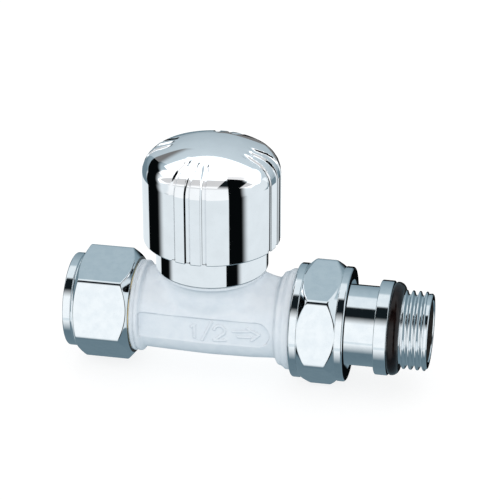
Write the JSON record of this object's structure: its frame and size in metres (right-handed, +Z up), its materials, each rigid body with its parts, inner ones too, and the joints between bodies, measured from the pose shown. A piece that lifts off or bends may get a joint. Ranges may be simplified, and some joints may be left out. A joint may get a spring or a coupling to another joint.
{
  "type": "lockshield valve",
  "caption": "Straight lockshield radiator valve with a push-on chrome cap, a compression inlet, and a union outlet with a self-sealing threaded tail.",
  "frame": {"origin": "centre of the pipe stop in the inlet socket, on the flow axis", "axes": "+X along the flow to the radiator, +Z up the spindle to the cap, front panel on -Y"},
  "size_m": [0.0972, 0.0362, 0.0667],
  "materials": {
    "lacquer": "satin off-white lacquer on a cast brass body",
    "chrome": "polished chrome plate",
    "cap_chrome": "mirror chrome plate on plastic, satin top",
    "brass": "machined",
    "steel": "zinc plated",
    "seal_rubber": "moulded",
    "ring_rubber": "moulded, slightly glossy dark brown",
    "insert_plastic": "moulded",
    "ptfe": "moulded"
  },
  "bodies": {
    "valve": {"valve_body": "lacquer", "bonnet": "brass", "bonnet_oring": "seal_rubber", "packing_ring": "ptfe", "spindle_oring": "seal_rubber", "gland_nut": "brass", "cover_collar": "cap_chrome", "cap_grip_ring": "seal_rubber"},
    "plug_holder": {"plug": "brass", "seat_washer": "seal_rubber", "washer_screw": "steel"},
    "spindle": {"spindle": "brass"},
    "cap_sleeve": {"cap_insert": "insert_plastic"},
    "cap": {"cap_shell": "cap_chrome", "cap_screw": "steel"},
    "inlet_seal": {"split_olive": "brass", "cone_seal": "seal_rubber"},
    "compression_nut": {"compression_nut": "chrome"},
    "tail": {"tailpiece": "chrome", "union_oring": "seal_rubber", "tail_oring": "ring_rubber"},
    "union_nut": {"union_nut": "chrome"}
  },
  "joints": [
    {"name": "spindle_lift", "type": "slide", "parent": "valve", "child": "plug_holder", "axis": [0, 0, 1], "range_m": [0, 0.0035]},
    {"name": "spindle_turn", "type": "hinge", "parent": "plug_holder", "child": "spindle", "pos_m": [0.022, 0, 0], "axis": [0, 0, 1], "range_deg": [0, 1260]},
    {"name": "cap_pull", "type": "slide", "parent": "valve", "child": "cap_sleeve", "axis": [0, 0, 1], "range_m": [0, 0.03]},
    {"name": "cap_spin", "type": "hinge", "parent": "cap_sleeve", "child": "cap", "pos_m": [0.022, 0, 0], "axis": [0, 0, 1], "continuous": true},
    {"name": "inlet_draw", "type": "slide", "parent": "valve", "child": "inlet_seal", "axis": [-1, 0, 0], "range_m": [0, 0.0107]},
    {"name": "compression_nut_turn", "type": "hinge", "parent": "inlet_seal", "child": "compression_nut", "pos_m": [0, 0, 0], "axis": [-1, 0, 0], "range_deg": [0, 2880]},
    {"name": "union_draw", "type": "slide", "parent": "valve", "child": "tail", "axis": [1, 0, 0], "range_m": [0, 0.00908]},
    {"name": "union_nut_turn", "type": "hinge", "parent": "tail", "child": "union_nut", "pos_m": [0, 0, 0], "axis": [1, 0, 0], "range_deg": [0, 1800]}
  ],
  "couplings": [
    {"joint": "spindle_lift", "follows": "spindle_turn", "m_per_rad": 0.00015915},
    {"joint": "inlet_draw", "follows": "compression_nut_turn", "m_per_rad": 0.00021279},
    {"joint": "union_draw", "follows": "union_nut_turn", "m_per_rad": 0.00028871}
  ]
}
